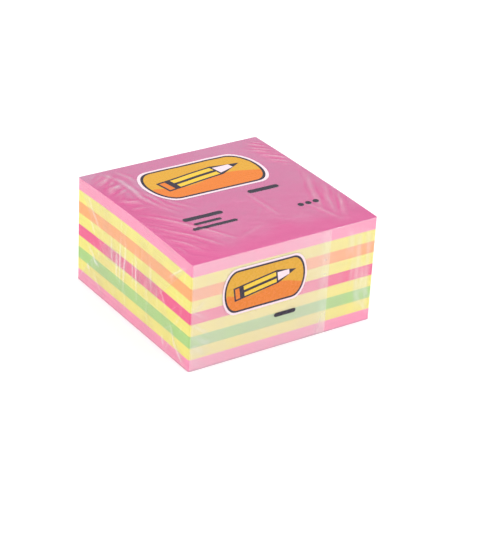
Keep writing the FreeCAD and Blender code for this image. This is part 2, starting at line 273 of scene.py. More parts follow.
# Main wrinkles of each face: width and height, then the places it runs through, in mm in the face's own two
# directions, from the middle of the notes' footprint along X or Y and from the underside along Z.
WRINKLES = {
    "top": [
        (0.7, 0.28, (-35.6, 0), (-30, -6.4), (-25.7, -12.5), (-20, -20.7), (-15, -28.6)),
        (0.7, 0.27, (-35.9, -9.3), (-33, -14.3), (-27.1, -21.4), (-21.4, -30.4)),
        (0.6, 0.25, (-36.2, -19.3), (-33, -23.6), (-29.3, -30.7)),
        (0.5, 0.16, (-36.2, -25), (-35, -30.7)),
        (0.5, 0.12, (-36.5, -5), (-31, -12.5), (-28, -17)),
        (0.5, 0.12, (-34, -17), (-29, -23), (-26, -29)),
        (0.6, 0.14, (-29, -10), (-24, -17), (-18, -27)),
        (0.9, 0.12, (-36, 29.3), (-33, 31.8), (-30, 34.6)),
        (1.1, 0.20, (-35.8, 27), (-32, 29.6), (-28, 33.6)),
        (0.8, 0.15, (-35.5, 24.3), (-31.4, 26.4), (-28.6, 30)),
        (1.2, 0.21, (-35.8, 19.6), (-33, 22.5), (-29.3, 23.6)),
        (0.7, 0.12, (-35.4, 16.4), (-31.4, 18.6), (-29, 20)),
        (1.0, 0.18, (-35.5, 12.9), (-33.6, 10), (-30, 8.4)),
        (0.5, 0.18, (-35.4, 10.7), (-30, 9.6)),
        (0.6, 0.20, (-35.4, 5), (-30, 4.3)),
        (0.9, 0.17, (-30, 35.7), (-27.1, 27), (-27.1, 18.6), (-27.9, 11.4), (-25.7, 3), (-23, -4.3)),
        (0.8, 0.13, (-25, 35), (-22.9, 28.6), (-22.6, 23)),
        (0.8, 0.14, (-26.4, 16.4), (-24.3, 10), (-23.6, 3), (-20, -3)),
        (0.8, 0.10, (-21.4, 8.6), (-20, 3), (-15, -4.3)),
        (0.6, 0.24, (29.7, 30), (33, 27.4), (35.6, 25.4)),
        (0.6, 0.24, (31, 33.6), (34, 30.8), (36.2, 28.4)),
        (0.6, 0.22, (29.7, 27.6), (34, 23.4)),
        (0.6, 0.22, (30.4, 22.8), (36.8, 17)),
        (0.6, 0.20, (30.4, 18.5), (36.2, 13.4)),
        (0.5, 0.20, (33.3, 35), (36.2, 32)),
        (0.9, 0.12, (36, 2), (30, -9), (24, -24)),
        (0.8, 0.12, (36.5, -8), (31, -18), (27, -28)),
        (0.8, 0.10, (36.5, -16), (33, -24), (29, -32)),
        (0.7, 0.10, (7, -2), (8, -22)),
        (0.8, 0.12, (22, -18), (26, -33)),
        (0.9, 0.07, (0, -24), (-13, -29)),
    ],
    "left": [
        (0.4, 0.34, (28.5, 28), (25.5, 24)), (0.45, 0.34, (28, 16.6), (25, 13), (23, 12)),
        (0.4, 0.32, (31, 9.6), (29, 7.6)), (0.4, 0.24, (7.5, 31), (8, 12)),
        (0.35, 0.18, (10.2, 24), (10.2, 13)), (0.4, 0.22, (-2.5, 31), (-3.5, 11)),
        (0.45, 0.34, (-21, 6), (-22, 2.5)),
        (0.5, 0.36, (-28, 7), (-31, 4.5), (-34, 1.5)), (0.4, 0.26, (-26, 12), (-29, 6)),
        (0.5, 0.20, (4, 30), (5, 16)), (0.5, 0.18, (-12, 30), (-13, 20)), (0.5, 0.16, (14, 28), (13, 18)),
        (0.5, 0.18, (-34, 38), (-24, 30)), (0.5, 0.18, (31, 37), (22, 27)), (0.5, 0.20, (-18, 24), (-23, 17)),
        (0.35, 0.16, (5.2, 22), (5.6, 9)), (0.35, 0.16, (-0.5, 26), (-1, 15)),
    ],
    "front": [
        (1.0, 0.14, (31, 8), (30, 34)), (1.0, 0.16, (34.5, 5), (35, 36)), (0.8, 0.10, (28, 16), (28.5, 27)),
        (0.8, 0.10, (-37, 13.5), (-30, 9.2)), (0.8, 0.10, (-37, 9.5), (-32, 5.4)),
        (0.7, 0.08, (-36.5, 17.5), (-31, 13.6)), (0.8, 0.16, (37, 3), (34, 7), (30, 13)),
        (0.7, 0.12, (37.4, 9), (33, 15)), (0.7, 0.08, (-37.4, 22), (-33, 26)),
    ],
    "right": [
        (0.4, 0.22, (-29, 29), (-26, 25)), (0.45, 0.26, (-23, 14), (-28, 8)), (0.4, 0.16, (28, 31), (23, 25)),
        (0.45, 0.28, (25, 11), (31, 5)), (0.4, 0.20, (4, 30), (3.4, 14)), (0.35, 0.16, (-7, 27), (-7.6, 15)),
        (0.35, 0.12, (-2, 29), (-2.2, 20)), (0.4, 0.16, (12, 27), (12.4, 14)), (0.4, 0.20, (19, 7), (20, 3)),
    ],
    "back": [
        (0.7, 0.20, (-31, 4), (-30, 34)), (0.8, 0.18, (-16, 14), (-15, 38)), (0.7, 0.16, (14, 14), (13, 37)),
        (0.7, 0.22, (29, 3), (30, 34)), (0.6, 0.20, (-37, 20), (-30, 10)), (0.6, 0.18, (37, 24), (31, 36)),
    ],
}

# Zones where fine wrinkles crowd: face, their middle, spread, how many, direction in degrees, its
# spread, then length, height and width.
WRINKLE_ZONES = [
    ("top", (-30, -16), (6, 14), 60, -50, 7, 12, 0.04, 0.45),
    ("top", (-33, 22), (2, 12), 30, 38, 22, 5, 0.035, 0.5),
    ("top", (33, 22), (4, 9), 34, -42, 9, 8, 0.05, 0.45),
    ("top", (32, -14), (5, 12), 34, 62, 8, 12, 0.035, 0.45),
    ("top", (4, -22), (20, 8), 22, -40, 40, 8, 0.03, 0.45),
    ("left", (7, 21), (5, 9), 16, 91, 5, 8, 0.06, 0.3),
    ("left", (-9, 20), (6, 9), 12, 88, 8, 8, 0.06, 0.3),
    ("left", (-30, 18), (5, 12), 14, 110, 25, 6, 0.08, 0.35),
    ("left", (28, 14), (5, 10), 16, 55, 20, 6, 0.10, 0.35),
    ("front", (31, 21), (4, 12), 30, 91, 5, 14, 0.06, 0.9),
    ("front", (-33, 9), (4, 8), 14, -32, 14, 8, 0.04, 0.8),
    ("right", (3, 20), (12, 10), 26, 88, 10, 8, 0.06, 0.3),
    ("back", (0, 24), (30, 11), 50, 88, 14, 11, 0.08, 0.45),
]


def face_point(face, first, second, lift=0.0):
    """The point of the tight film at a place of a face, moved out by a lift. Takes arrays too."""
    film = settings("cube_film")
    out = film.gap / MM + lift
    first, second, out = np.broadcast_arrays(np.asarray(first, float), np.asarray(second, float), out)
    if face == "top":
        return np.stack([first, second, film_top(first, second) + lift], axis=-1)
    if face in ("front", "back"):
        side = -1.0 if face == "front" else 1.0
        return np.stack([first, side * (HALF_DEPTH + out), second], axis=-1)
    side = -1.0 if face == "left" else 1.0
    return np.stack([side * (HALF_WIDTH + out), first, second], axis=-1)


def all_wrinkles():
    """Places, width and height of every wrinkle in space, main ones first."""
    draws = np.random.default_rng(settings("cube_film").seed)
    rows = []
    for face, lines in WRINKLES.items():
        for width, height, *places in lines:
            first, second = np.array(places, float).T
            rows.append((face_point(face, first, second), width, height))
    for face, middle, spread, count, direction, turn, length, height, width in WRINKLE_ZONES:
        for _ in range(count):
            place = np.array(middle) + draws.normal(size=2) * np.array(spread) * 0.7
            angle = math.radians(direction + draws.normal() * turn)
            half = 0.5 * length * draws.uniform(0.5, 1.5) * np.array([math.cos(angle), math.sin(angle)])
            rise = height * draws.uniform(0.4, 1.5)
            limit = HALF_WIDTH + 1.0
            ends = np.clip([place - half, place + half], -limit, limit)
            rows.append((face_point(face, ends[:, 0], ends[:, 1]), width * draws.uniform(0.7, 1.3), rise))
    return rows


class Relief:
    """How far the film stands off its tight form at any point, and how cloudy it is there."""

    def __init__(self):
        draws = np.random.default_rng(settings("cube_film").seed + RELIEF_DRAWS)
        self.waves = [(Waves(draws, length, count), height) for length, count, height in SLACK_WAVES]
        self.wrinkles = all_wrinkles()

    def folds(self, points):
        """Summed height of all wrinkles at the points, and how far each point lies in a wrinkle's foot."""
        height, foot = np.zeros(len(points)), np.zeros(len(points))
        for line, width, rise in self.wrinkles:
            reach = WRINKLE_REACH * width
            low, high = line.min(axis=0) - reach, line.max(axis=0) + reach
            near = np.flatnonzero(((points > low) & (points < high)).all(axis=1))
            if not len(near):
                continue
            chosen = points[near]
            runs = np.diff(line, axis=0)
            lengths = np.linalg.norm(runs, axis=1)
            before = np.concatenate([[0.0], np.cumsum(lengths)])
            away, share = np.full(len(near), np.inf), np.zeros(len(near))
            for start, run, length, done in zip(line, runs, lengths, before):
                along = np.clip((chosen - start) @ run / length ** 2, 0.0, 1.0)
                gap = np.linalg.norm(chosen - start - along[:, None] * run, axis=1)
                closer = gap < away
                away[closer] = gap[closer]
                share[closer] = ((done + along * length) / before[-1])[closer]
            away = away / width
            # A wrinkle fades out at both ends, and a clearer foot runs beside it.
            swell = rise * np.sin(math.pi * np.clip(share * 0.94 + 0.03, 0, 1)) ** 0.7
            height[near] += swell / (1 + away ** 2) ** 2
            foot[near] += 4 * swell * hump(away, 1.9, 0.8)
        return height, np.clip(foot, 0, 1)

    def height(self, points, slack=1.0, ridges=UPRIGHT_RIDGES):
        """Millimetres off the tight form, never so low that the film would cut into the paper."""
        base = sum(height * waves.at(points) for waves, height in self.waves)
        stopped = np.logaddexp(0.0, (slack * base + DEEPEST_DIP) / DIP_SOFTNESS)
        return DIP_SOFTNESS * stopped - DEEPEST_DIP + ridges * self.folds(points)[0]


def haze_at(points):
    """Cloudiness of the skin by where it lies: its tint, and its share from 0 to 1."""
    film = settings("cube_film")
    across, depth, up = points.T
    front, back = depth < -HALF_DEPTH - 0.02, depth > HALF_DEPTH + 0.02
    left, right = across < -HALF_WIDTH - 0.02, across > HALF_WIDTH + 0.02
    flat = (up > PILE_HEIGHT - 0.5) & ~front & ~left
    haze = np.full(len(points), 0.05)
    tint = np.tile(np.array(film.front_haze), (len(points), 1))
    # The front is milky, palest along the second layer's free edge, and clearer beyond it and at the corner.
    low = 1 - up / PILE_HEIGHT
    lap_edge = film.front_lap / MM
    beyond = rising(across, lap_edge, 0.3)
    milky = 0.19 + beyond * (0.06 - 0.09 * low - 0.09 * rising(across, lap_edge + 9, 2.0))
    band = rising(across, lap_edge - BAND_WIDTH, BAND_SOFTNESS) * (1 - beyond)
    corner = 0.35 + 0.65 * rising(across, -37.75, 0.15)
    haze[front] = ((milky + 0.06 * band) * corner)[front]
    tint += (1 - tint) * band[:, None]
    haze[back] = 0.22
    # The ends are nearly clear, but for the film between their turned corners.
    middle = rising(depth, -20, 3.0) * (1 - rising(depth, 24, 3.0))
    haze[left] = (0.01 + 0.01 * middle)[left]
    haze[right] = (0.03 + 0.04 * middle)[right]
    # The top clouds over behind a wavy line near its front edge, but for a clear strip along its left edge.
    rim = -29 + 2.2 * np.sin(across * 0.16 + 0.6) + 1.2 * np.sin(across * 0.41)
    veil = 0.05 + 0.11 * rising(depth, rim, 1.6) + 0.08 * rising(depth, 6, 14.0)
    veil = veil + 0.02 * rising(across, 10, 9.0) + 0.13 * hump(across, -28, 5) * hump(depth, 20, 10)
    not_back = 1 - rising(depth, 29, 2.5)
    clear_strip = (1 - rising(across, -26 - 6 * rising(depth, 2, 4.0), 2.0)) * not_back
    back_corner = (1 - not_back) * (1 - rising(across, -31, 2.5))
    haze[flat] = (veil * (1 - 0.6 * clear_strip) + 0.12 * back_corner)[flat]
    tint[left | right] = film.end_haze
    tint[flat] = film.top_haze
    return tint, haze


def skin_look(points, normals, relief, foot):
    """Tint, cloudiness and shine of the skin: by its place and its wrinkles, with a painted highlight on its
    bend over the top edge and a painted shadow on its bend at the base.
    """
    flat, front = normals[:, 2] > 0.5, normals[:, 1] < -0.5
    tint, haze = haze_at(points)
    # Wrinkles are cloudier than the film round them, and clearer at their feet. Their paler tint is partly
    # painted highlight, standing for glints along their crests.
    folded, hollow = relief.folds(points)
    folded = folded * foot
    haze = haze * (1 - hollow * np.where(flat, 0.8, np.where(front, 0.4, 0.0)))
    haze = haze + folded * np.where(flat, 0.55, np.where(front, 1.1, 0.2 + 4.0 * folded))
    most = np.where(front, SKIN_CLOUD_FRONT, SKIN_CLOUD_SIDE)
    haze = np.where(flat, haze, np.minimum(haze, most))
    tint = tint + (1 - tint) * np.clip(folded * 4, 0, 0.9)[:, None]
    # The bend over the top edge is pale, most at the front: a painted highlight. The bend at the underside is
    # dark: a painted shadow along the base.
    bend = hump(normals[:, 2], 0.6, 0.25) * np.where(points[:, 1] < -HALF_DEPTH + 0.5, 0.22, 0.06)
    painted_base_shadow = hump(points[:, 2], 0, 0.26) * (normals[:, 2] > -0.9)
    haze = haze + bend + 0.4 * painted_base_shadow
    tint = tint + (1 - tint) * (3 * bend)[:, None].clip(0, 1)
    return tint * (1 - 0.65 * painted_base_shadow[:, None]), haze, np.where(flat, 0.8, 0.4 + 10 * folded)


def lattice(half, step, fine):
    """Places from -half to half, evenly spaced but for the closer ones named near each end."""
    inner = half - fine[-1]
    count = max(2, int(round(2 * inner / step)))
    middle = np.linspace(-inner, inner, count + 1)
    near, far = [-half + place for place in fine[:-1]], [half - place for place in fine[-2::-1]]
    return np.concatenate([near, middle, far])


def shell_grid(xs, ys, zs):
    """Points and outward quads of a box's surface on three rows of places."""
    on = np.zeros((len(xs), len(ys), len(zs)), bool)
    on[[0, -1]] = on[:, [0, -1]] = on[:, :, [0, -1]] = True
    index = np.full(on.shape, -1)
    index[on] = np.arange(on.sum())
    place = np.nonzero(on)
    points = np.stack([xs[place[0]], ys[place[1]], zs[place[2]]], axis=1)
    quads = []
    for plane, outward in ((index[0], False), (index[-1], True), (index[:, 0], True), (index[:, -1], False),
                           (index[:, :, 0], False), (index[:, :, -1], True)):
        ring = [plane[:-1, :-1], plane[1:, :-1], plane[1:, 1:], plane[:-1, 1:]]
        quads.append(np.stack([corner.ravel() for corner in (ring if outward else ring[::-1])], axis=1))
    return points, np.concatenate(quads)


def point_normals(points, quads):
    """Mean outward direction at each point of a grid of quads."""
    spans = np.cross(points[quads[:, 2]] - points[quads[:, 0]], points[quads[:, 3]] - points[quads[:, 1]])
    normals = np.zeros_like(points)
    for corner in range(4):
        np.add.at(normals, quads[:, corner], spans)
    return normals / np.maximum(np.linalg.norm(normals, axis=1), 1e-12)[:, None]


def rounded(points, half_width, half_depth, low, high, corner, edge):
    """Bends a box's corners and edges round: upright corners by one radius, flat edges by another."""
    core = np.array([half_width - corner, half_depth - corner])
    flat = np.clip(points[:, :2], -core, core)
    away = points[:, :2] - flat
    reach = np.abs(away).max(axis=1)
    length = np.linalg.norm(away, axis=1)
    direction = away / np.maximum(length, 1e-9)[:, None]
    middle, half_height = (low + high) / 2, (high - low) / 2
    outward = np.maximum(0.0, reach - (corner - edge))
    upward = np.maximum(0.0, np.abs(points[:, 2] - middle) - (half_height - edge))
    bend = np.maximum(outward, upward) / np.maximum(np.hypot(outward, upward), 1e-9)
    both = (outward > 0) & (upward > 0)
    reach = np.where(both, corner - edge + outward * bend, reach)
    lift = np.where(both, half_height - edge + upward * bend, np.abs(points[:, 2] - middle))
    up = middle + np.sign(points[:, 2] - middle) * lift
    return np.concatenate([flat + direction * reach[:, None], up[:, None]], axis=1)


def make_mesh(name, points, faces, material, haze=None, smooth=True):
    """A mesh object from points in mm, with the film's cloudiness kept on its points."""
    mesh = bpy.data.meshes.new(name)
    mesh.from_pydata((np.asarray(points) * MM).tolist(), [], [list(map(int, face)) for face in faces])
    mesh.update()
    if haze is not None:
        tint, share, shine = haze
        gloss = mesh.attributes.new("shine", "FLOAT", "POINT")
        gloss.data.foreach_set("value", np.broadcast_to(shine, len(points)).astype(np.float32))
        cloud = mesh.attributes.new("haze", "FLOAT_COLOR", "POINT")
        cloud.data.foreach_set("color", np.column_stack([tint, share]).astype(np.float32).ravel())
    if smooth:
        mesh.shade_smooth()
    mesh.materials.append(material)
    piece = bpy.data.objects.new(name, mesh)
    bpy.context.scene.collection.objects.link(piece)
    return piece


def grid_faces(rows, columns, points, outward):
    """Quads of a grid whose points run along columns first, turned to look outward."""
    place = np.arange(rows * columns).reshape(rows, columns)
    ring = (place[:-1, :-1], place[:-1, 1:], place[1:, 1:], place[1:, :-1])
    quads = np.stack([corner.ravel() for corner in ring], axis=1)
    spans = np.cross(points[quads[:, 2]] - points[quads[:, 0]], points[quads[:, 3]] - points[quads[:, 1]])
    return quads[:, ::-1] if spans.sum(axis=0) @ np.array(outward) < 0 else quads


def inside_limits(points):
    """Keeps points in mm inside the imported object's own box."""
    low, high = np.array(CAD_LOW) / MM, np.array(CAD_HIGH) / MM
    return np.clip(points, low + (LIMIT_MARGIN, LIMIT_MARGIN, 0.0), high - LIMIT_MARGIN)


# Materials


class Tree:
    """A short hand for building node trees."""

    def __init__(self, tree):
        self.tree = tree

    def add(self, kind, values=None, **options):
        """A node with its options, then its sockets, each linked to an output or set to a value."""
        node = self.tree.nodes.new(kind)
        for key, value in options.items():
            setattr(node, key, value)
        for socket, value in (values or {}).items():
            if isinstance(value, bpy.types.NodeSocket):
                self.tree.links.new(value, node.inputs[socket])
            else:
                node.inputs[socket].default_value = value
        return node

    def math(self, operation, *values, clamp=False):
        values = dict(enumerate(values))
        return self.add("ShaderNodeMath", values, operation=operation, use_clamp=clamp).outputs[0]

    def plus(self, first, second):
        return self.math("ADD", first, second)

    def minus(self, first, second):
        return self.math("SUBTRACT", first, second)

    def times(self, first, second, clamp=False):
        return self.math("MULTIPLY", first, second, clamp=clamp)

    def scaled(self, value, gain, offset):
        return self.math("MULTIPLY_ADD", value, gain, offset)

    def coordinates(self, output="Object"):
        return self.add("ShaderNodeTexCoord").outputs[output]

    def parts(self, vector):
        return self.add("ShaderNodeSeparateXYZ", {0: vector}).outputs

    def noise(self, place, scale, detail=2.0, **values):
        return self.add("ShaderNodeTexNoise",
                        {"Vector": place, "Scale": scale, "Detail": detail, **values}).outputs["Fac"]

    def mix(self, share, first, second):
        return self.add("ShaderNodeMix", {"Factor": share, 6: first, 7: second},
                        data_type="RGBA", clamp_result=True).outputs[2]

    def shaded(self, colour, shade):
        return self.add("ShaderNodeVectorMath", {0: colour, "Scale": shade}, operation="SCALE").outputs[0]

    def bump(self, height, strength, deep):
        """The normal of a fine relief, whose depth is in mm."""
        return self.add("ShaderNodeBump",
                        {"Strength": strength, "Distance": deep * MM, "Height": height}).outputs["Normal"]

    def give(self, result, **outputs):
        """Links a group's results to its output node."""
        for name, value in outputs.items():
            self.tree.links.new(value, result.inputs[name])

    def surface(self, shader, kind="Material"):
        self.add("ShaderNodeOutput" + kind, {"Surface": shader.outputs[0]})


def opaque(colour):
    return (*colour, 1.0)


def new_group(name, inputs, outputs):
    """A node group with named sockets, and its input sockets and output node."""
    group = bpy.data.node_groups.new(name, "ShaderNodeTree")
    for socket, kind, value in inputs:
        made = group.interface.new_socket(socket, in_out="INPUT", socket_type=kind)
        made.default_value = value
    for socket, kind in outputs:
        group.interface.new_socket(socket, in_out="OUTPUT", socket_type=kind)
    tree = Tree(group)
    return group, tree, tree.add("NodeGroupInput").outputs, tree.add("NodeGroupOutput")


def sheet_edge_group():
    """Single sheets on the cut sides of the pile: lines of painted shade that follow its arch, and a face
    that is not cut.
    """
    group, tree, given, result = new_group(
        "sheet_edges",
        [("Edge Colour", "NodeSocketColor", (1, 1, 1, 1)), ("Face Colour", "NodeSocketColor", (1, 1, 1, 1)),
         ("Line Depth", "NodeSocketFloat", 0.1)],
        [("Colour", "NodeSocketColor"), ("Height", "NodeSocketFloat"), ("Roughness", "NodeSocketFloat")])
    paper = settings("cube_paper")
    place = tree.coordinates()
    across, depth, up = tree.parts(place)
    # The number of the sheet at each height, under the same arch as the notes.
    far = tree.scaled(across, 0.5 / ((HALF_WIDTH + ARCH_MARGIN) * MM), 0.5)
    rise = tree.scaled(far, paper.crown_far - paper.crown_near, paper.crown_near)
    off_middle = tree.math("DIVIDE", depth, (HALF_DEPTH + ARCH_MARGIN) * MM)
    bow = tree.minus(1.0, tree.times(off_middle, off_middle))
    height = tree.scaled(rise, bow, PILE_HEIGHT * MM)
    share = tree.math("DIVIDE", tree.minus(up, PILE_FOOT * MM), height)
    sheet = tree.times(share, float(SHEETS))
    within = tree.math("FRACT", sheet)
    gap = tree.math("POWER", tree.math("ABSOLUTE", tree.scaled(within, 2.0, -1.0)), 6.0)
    single = tree.add("ShaderNodeTexWhiteNoise", {"W": tree.math("FLOOR", sheet)},
                      noise_dimensions="1D").outputs["Value"]
    # A few sheets at a time stand slightly in or out along the side: in the bump, and as painted shade in the
    # colour.
    stretched = tree.add("ShaderNodeCombineXYZ", {0: tree.times(across, 22.0), 1: tree.times(depth, 22.0),
                                                  2: tree.times(sheet, 0.35)}).outputs[0]
    bundle = tree.noise(stretched, 1.0, 3.0)
    fibre, mottle = tree.noise(place, 5200.0), tree.noise(place, 160.0, 4.0)
    flat = tree.math("GREATER_THAN", tree.math("ABSOLUTE", tree.parts(tree.coordinates("Normal"))[2]), 0.7)
    cut = tree.minus(1.0, flat)
    # The cut sides' colour: a random tone for each sheet, painted shade for the bundles that stand in or out,
    # and painted shade in the gaps between sheets. The flat face keeps only its grain.
    shade = tree.plus(tree.scaled(single, 0.5, -0.25), tree.scaled(bundle, 1.6, -0.8))
    shade = tree.scaled(tree.minus(shade, tree.times(gap, 0.5)), given["Line Depth"], 1.0)
    grain = tree.scaled(tree.plus(fibre, mottle), 0.05, 0.95)
    shade = tree.plus(tree.times(shade, cut), tree.times(grain, flat))
    stand = tree.plus(tree.times(bundle, 0.8), tree.minus(single, gap))
    tree.give(result,
              Colour=tree.shaded(tree.mix(flat, given["Edge Colour"], given["Face Colour"]), shade),
              Height=tree.plus(tree.times(stand, cut), tree.times(fibre, 0.3)),
              Roughness=tree.scaled(mottle, 0.2, 0.72))
    return group


def film_cloud_group():
    """Cloudy streaks of stretched film: a mask that changes over the surface, and its fine relief."""
    group, tree, given, result = new_group(
        "film_cloud",
        [("Cloud", "NodeSocketFloat", 0.1), ("Streak", "NodeSocketFloat", 0.5)],
        [("Mask", "NodeSocketFloat"), ("Height", "NodeSocketFloat")])
    place = tree.coordinates()
    stretched = tree.add("ShaderNodeMapping", {"Vector": place, "Rotation": (0.0, 0.0, math.radians(-40)),
                                               "Scale": (0.35, 1.0, 0.14)}).outputs[0]
    streaks = tree.noise(stretched, 420.0, 5.0, Roughness=0.6, Distortion=0.4)
    both = tree.scaled(tree.noise(place, 70.0, 3.0), 0.6, tree.times(streaks, 0.4))
    drawn = tree.add("ShaderNodeMapRange", {"Value": both, "From Min": 0.38, "From Max": 0.62}).outputs[0]
    varied = tree.scaled(tree.scaled(drawn, 2.0, -1.0), given["Streak"], 1.0)
    tree.give(result,
              Mask=tree.times(given["Cloud"], varied, clamp=True),
              Height=tree.scaled(tree.noise(place, 1400.0, 3.0), 0.25, streaks))
    return group


def shared_group(name, make):
    return bpy.data.node_groups.get(name) or make()


def new_material(name):
    material = bpy.data.materials.new(name)
    material.use_nodes = True
    material.node_tree.nodes.clear()
    return material, Tree(material.node_tree)


def paper_material(slot):
    """Matt note paper of one colour: a deeper flat face and lighter cut edges with sheet lines of painted
    shade.
    """
    paper = settings("cube_paper")
    material, tree = new_material(slot)
    edge = getattr(paper, slot)
    face = paper.top_sheet if slot == "paper_pink" else edge
    look = tree.add("ShaderNodeGroup", {"Edge Colour": opaque(edge), "Face Colour": opaque(face),
                                        "Line Depth": paper.line_depth},
                    node_tree=shared_group("sheet_edges", sheet_edge_group)).outputs
    tree.surface(tree.add("ShaderNodeBsdfPrincipled", {
        "Base Color": look["Colour"], "Roughness": look["Roughness"],
        "Normal": tree.bump(look["Height"], 0.25, 0.04),
        "Specular IOR Level": 0.12, "Sheen Weight": 0.12, "Sheen Roughness": 0.6}))
    return material


def film_material(name, streak):
    """Clear film: see-through, cloudy where the mask says, and glossy at a slant."""
    material, tree = new_material(name)
    cloud = tree.add("ShaderNodeAttribute", attribute_name="haze").outputs
    look = tree.add("ShaderNodeGroup", {"Cloud": cloud["Alpha"], "Streak": streak},
                    node_tree=shared_group("film_cloud", film_cloud_group)).outputs
    normal = tree.bump(look["Height"], 0.5, 0.12)
    clear = tree.add("ShaderNodeBsdfTransparent")
    milk = tree.add("ShaderNodeBsdfDiffuse", {"Color": cloud["Color"], "Normal": normal})
    body = tree.add("ShaderNodeMixShader", {"Fac": look["Mask"], 1: clear.outputs[0], 2: milk.outputs[0]})
    # Light that leaves the pile crosses the same thin film from inside, and loses no more than coming in.
    inside = tree.add("ShaderNodeNewGeometry").outputs["Backfacing"]
    index = tree.scaled(inside, 1 / FILM_INDEX - FILM_INDEX, FILM_INDEX)
    slant = tree.add("ShaderNodeFresnel", {"IOR": index, "Normal": normal}).outputs[0]
    gloss = tree.add("ShaderNodeBsdfGlossy", {"Color": (1, 1, 1, 1), "Normal": normal,
                                              "Roughness": settings("cube_film").gloss_roughness})
    strength = tree.add("ShaderNodeAttribute", attribute_name="shine").outputs["Fac"]
    shine = tree.times(slant, strength, clamp=True)
    tree.surface(tree.add("ShaderNodeMixShader", {"Fac": shine, 1: body.outputs[0], 2: gloss.outputs[0]}))
    return material


def ink_material(name, colour):
    """Ink printed on the film: even colour with a little mottling, and the film's own gloss."""
    material, tree = new_material(name)
    mottle = tree.noise(tree.coordinates(), 900.0, 4.0)
    tree.surface(tree.add("ShaderNodeBsdfPrincipled", {
        "Base Color": tree.shaded(tuple(colour), tree.scaled(mottle, 0.06, 0.97)),
        "Roughness": tree.scaled(mottle, 0.15, 0.2), "Specular IOR Level": 0.35,
        "Normal": tree.bump(mottle, 0.1, 0.02)}))
    return material


# Operators


class DressNotes(bpy.types.Operator):
    """Gives each run of notes its paper, with single sheets showing on the cut sides"""
    bl_idname = "cube.dress_notes"
    bl_label = "Dress the notes"

    def execute(self, context):
        papers = {slot: paper_material(slot) for slot in sorted(set(PAPER_SLOTS.values()))}
        for name, slot in PAPER_SLOTS.items():
            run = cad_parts[name]
            if not run.material_slots:
                run.data.materials.append(None)
            for place in run.material_slots:
                place.material = papers[slot]
        return {"FINISHED"}


def lay_film(piece):
    """Declares a piece of the visible wrap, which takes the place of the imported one."""
    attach(piece, "root")
    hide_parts("film_wrap")


class WrapSkin(bpy.types.Operator):
    """Shrinks one skin of clear film round the pile, with its wrinkles"""
    bl_idname = "cube.wrap_skin"
    bl_label = "Wrap the skin"

    def execute(self, context):
        film = settings("cube_film")
        gap, step = film.gap / MM, film.mesh_step / MM
        corner, edge = film.corner_radius / MM, film.edge_radius / MM
        fine = [0.0, edge * 0.35, edge * 0.7, edge, corner * 0.5, corner * 0.75, corner]
        half_width, half_depth = HALF_WIDTH + gap, HALF_DEPTH + gap
        height = PILE_FOOT + PILE_HEIGHT + gap
        xs, ys = lattice(half_width, step, fine), lattice(half_depth, step, fine)
        zs = lattice(height / 2, step, fine[:4]) + height / 2
        points, quads = shell_grid(xs, ys, zs)
        points = rounded(points, half_width, half_depth, 0.0, height, corner, edge)
        points[:, 2] += crown(points[:, 0], points[:, 1]) * points[:, 2] / height
        normals = point_normals(points, quads)
        relief = Relief()
        foot = ramp(points[:, 2], 0.0, FOOT_HEIGHT)
        rise = relief.height(points, 1.0, np.where(normals[:, 2] > 0.5, 1.0, UPRIGHT_RIDGES)) * foot
        rise[normals[:, 2] < -0.5] = 0.0
        look = skin_look(points, normals, relief, foot)
        points = inside_limits(points + normals * rise[:, None])
        lay_film(make_mesh("film_skin", points, quads, film_material("film_clear", 0.12), look))
        return {"FINISHED"}


def sheet_of_film(name, face, first, second, lift, relief, haze, pale, material):
    """A single layer of film over a face, from grids of places, lift, cloudiness and paleness of its tint; on
    the end flaps' edges that paleness is a painted glint.
    """
    film = settings("cube_film")
    points = face_point(face, first.ravel(), second.ravel())
    rise = lift.ravel() + relief.height(points, LAYER_SLACK)
    points = inside_limits(points + np.array(OUTWARD[face]) * rise[:, None])
    folded = relief.folds(points)[0]
    tint = np.array(film.front_haze if face in ("front", "back") else film.end_haze)
    # A wrinkle's paler tint is partly painted highlight, standing for glints along its crest, as on the skin.
    tint = tint + (1 - tint) * np.clip(pale.ravel() + 4 * folded, 0, 1)[:, None]
    gain = {"front": 0.6, "back": 0.0}.get(face, 0.2 + 2.5 * folded)
    haze = np.minimum(haze.ravel() + gain * folded, LAYER_CLOUD[face])
    faces = grid_faces(*first.shape, points, OUTWARD[face])
    lay_film(make_mesh(name, points, faces, material, (tint, haze, 0.4 + 6 * folded)))


